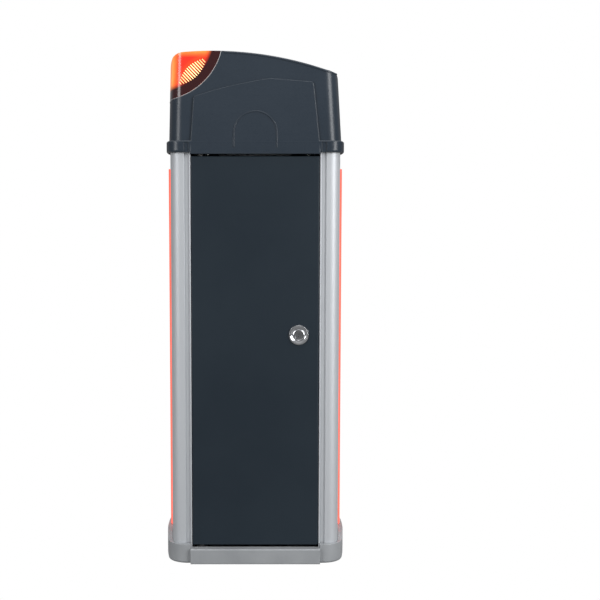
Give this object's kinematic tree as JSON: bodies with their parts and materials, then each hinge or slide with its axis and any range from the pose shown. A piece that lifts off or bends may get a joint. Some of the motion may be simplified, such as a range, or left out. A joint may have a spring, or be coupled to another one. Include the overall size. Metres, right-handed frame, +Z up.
{
  "type": "parking barrier operator cabinet",
  "caption": "Upright barrier-gate operator cabinet: hinged door, side light strips, lift-off hood with corner beacon, and a geared boom shaft with a balance spring inside.",
  "frame": {"origin": "centre of the four anchor holes, on the floor plane", "axes": "+Z up, the door faces -Y, +Y is the boom shaft's outward direction, the beacon is at -X"},
  "size_m": [0.378, 0.298, 1.05],
  "materials": {
    "galvanised_steel": "zinc coated, spangled",
    "cast_grey": "textured powder coat",
    "column_aluminium": "satin anodised",
    "steel_fasteners": "zinc plated",
    "red_lens": "translucent red",
    "clear_optic": "ribbed translucent",
    "circuit_board": "solder-masked board",
    "black_plastic": "moulded",
    "nylon": "natural",
    "panel_paint": "fine anthracite powder coat",
    "hood_plastic": "moulded anthracite",
    "box_plastic": "light grey moulded",
    "copper_steel": "varnished laminations",
    "gearbox_casting": "cast",
    "motor_paint": "satin black",
    "motor_plastic": "moulded",
    "arch_plate_paint": "anthracite",
    "gear_steel": "machined",
    "forged_steel": "zinc phosphated",
    "stop_rubber": "black",
    "spring_steel": "oiled spring wire",
    "lock_chrome": "polished",
    "foam": "closed-cell foam"
  },
  "bodies": {
    "cabinet": {"base_plate": "galvanised_steel", "base_skirt": "cast_grey", "column_front_left": "column_aluminium", "column_front_right": "column_aluminium", "column_rear_left": "column_aluminium", "column_rear_right": "column_aluminium", "column_screws": "steel_fasteners", "light_channel_left": "column_aluminium", "light_channel_right": "column_aluminium", "light_lens_left": "red_lens", "light_lens_right": "red_lens", "light_strips": "circuit_board", "light_end_caps": "black_plastic", "mounting_plate": "galvanised_steel", "rear_panel": "panel_paint", "spring_crossbar": "galvanised_steel", "equipment_panel": "galvanised_steel", "control_box": "box_plastic", "control_cover": "box_plastic", "control_board": "circuit_board", "transformer": "copper_steel", "terminal_rail": "black_plastic", "gearbox_housing": "gearbox_casting", "gearbox_cover": "gearbox_casting", "motor_body": "motor_paint", "motor_endcap": "motor_plastic", "bearing_block": "gearbox_casting", "rear_arch_plate": "arch_plate_paint", "spring_eyebolt": "steel_fasteners", "frame_bolts": "steel_fasteners", "panel_screws": "steel_fasteners", "pivot_pins": "steel_fasteners", "pivot_washers": "nylon", "door_brackets": "galvanised_steel", "cable_glands": "black_plastic", "gearbox_bolts": "steel_fasteners", "shaft_bearings": "gear_steel", "end_stops": "stop_rubber", "limit_switches": "black_plastic", "hood_gasket": "foam"},
    "door": {"door_panel": "panel_paint", "lock_rosette": "lock_chrome", "lock_barrel": "lock_chrome", "lock_nut": "lock_chrome"},
    "lock": {"lock_plug": "lock_chrome", "lock_cam": "lock_chrome"},
    "hood": {"hood_shell": "hood_plastic", "beacon_lens": "red_lens", "beacon_optic": "clear_optic", "beacon_board": "circuit_board"},
    "shaft": {"drive_shaft": "gear_steel", "shaft_keys": "steel_fasteners", "output_gear": "gear_steel", "spring_lever": "forged_steel", "lever_pin": "steel_fasteners", "limit_cam": "gear_steel", "boom_flange": "forged_steel"},
    "cluster": {"cluster_gear": "gear_steel"},
    "pinion": {"motor_pinion": "gear_steel"},
    "spring": {"balance_spring": "spring_steel"}
  },
  "joints": [
    {"name": "door_swing", "type": "hinge", "parent": "cabinet", "child": "door", "pos_m": [-0.1115, -0.1195, 0.43], "axis": [0, 0, -1], "range_deg": [0, 110]},
    {"name": "lock_turn", "type": "hinge", "parent": "door", "child": "lock", "pos_m": [0.089, -0.11, 0.476], "axis": [0, 1, 0], "range_deg": [0, 90]},
    {"name": "hood_lift", "type": "slide", "parent": "cabinet", "child": "hood", "axis": [0, 0, 1], "range_m": [0, 0.26]},
    {"name": "boom_shaft_turn", "type": "hinge", "parent": "cabinet", "child": "shaft", "pos_m": [0, 0.05, 0.886], "axis": [0, 1, 0], "range_deg": [0, 90]},
    {"name": "cluster_spin", "type": "hinge", "parent": "cabinet", "child": "cluster", "pos_m": [0.0793, 0, 0.92298], "axis": [0, 1, 0], "range_deg": [-361, 1]},
    {"name": "pinion_spin", "type": "hinge", "parent": "cabinet", "child": "pinion", "pos_m": [0.02668, -0.02, 0.94213], "axis": [0, 1, 0], "range_deg": [-1, 1081]},
    {"name": "spring_swing", "type": "hinge", "parent": "shaft", "child": "spring", "pos_m": [0.06, 0.068, 0.886], "axis": [0, 1, 0], "range_deg": [-98, 1], "deforming": ["balance_spring"]}
  ],
  "couplings": [
    {"joint": "cluster_spin", "follows": "boom_shaft_turn", "ratio": -4},
    {"joint": "pinion_spin", "follows": "boom_shaft_turn", "ratio": 12},
    {"joint": "spring_swing", "follows": "boom_shaft_turn", "ratio": -1.076}
  ]
}
